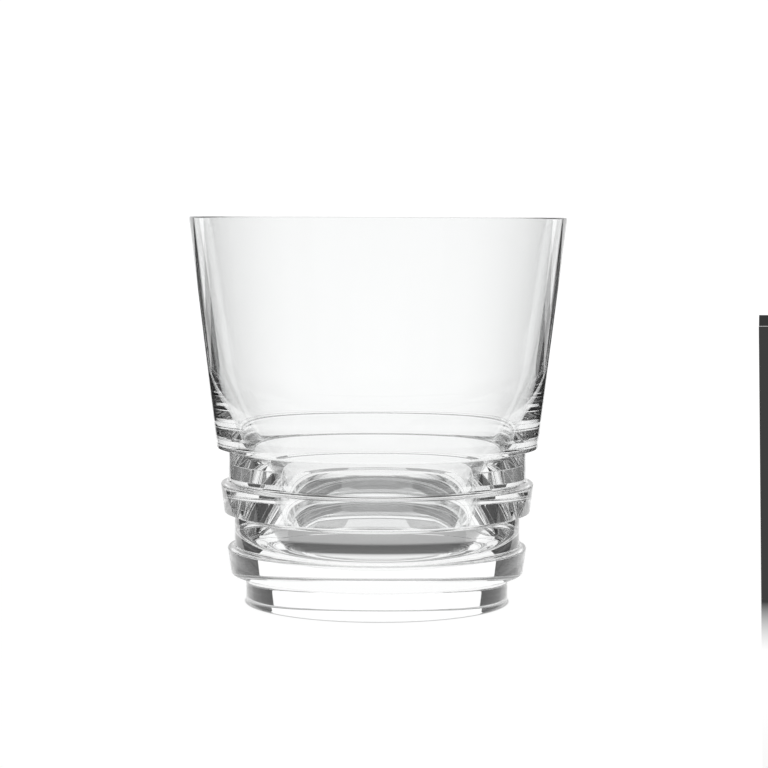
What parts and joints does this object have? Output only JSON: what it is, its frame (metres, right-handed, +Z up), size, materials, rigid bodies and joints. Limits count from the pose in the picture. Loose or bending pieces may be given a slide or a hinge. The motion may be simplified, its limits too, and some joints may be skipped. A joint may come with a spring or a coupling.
{
  "type": "whisky tumbler",
  "caption": "Heavy-based clear glass whisky tumbler: a thin tapered bowl on a solid stem turned with collars and necks, over a narrower flat foot.",
  "frame": {"origin": "middle of the underside, on the plane that the tumbler stands on", "axes": "+Z up along the turned axis, from the foot to the open mouth; the tumbler is the same all round"},
  "size_m": [0.095, 0.095, 0.0972],
  "materials": {
    "clear_glass": "polished"
  },
  "bodies": {
    "root": {"tumbler_glass": "clear_glass"}
  },
  "joints": []
}
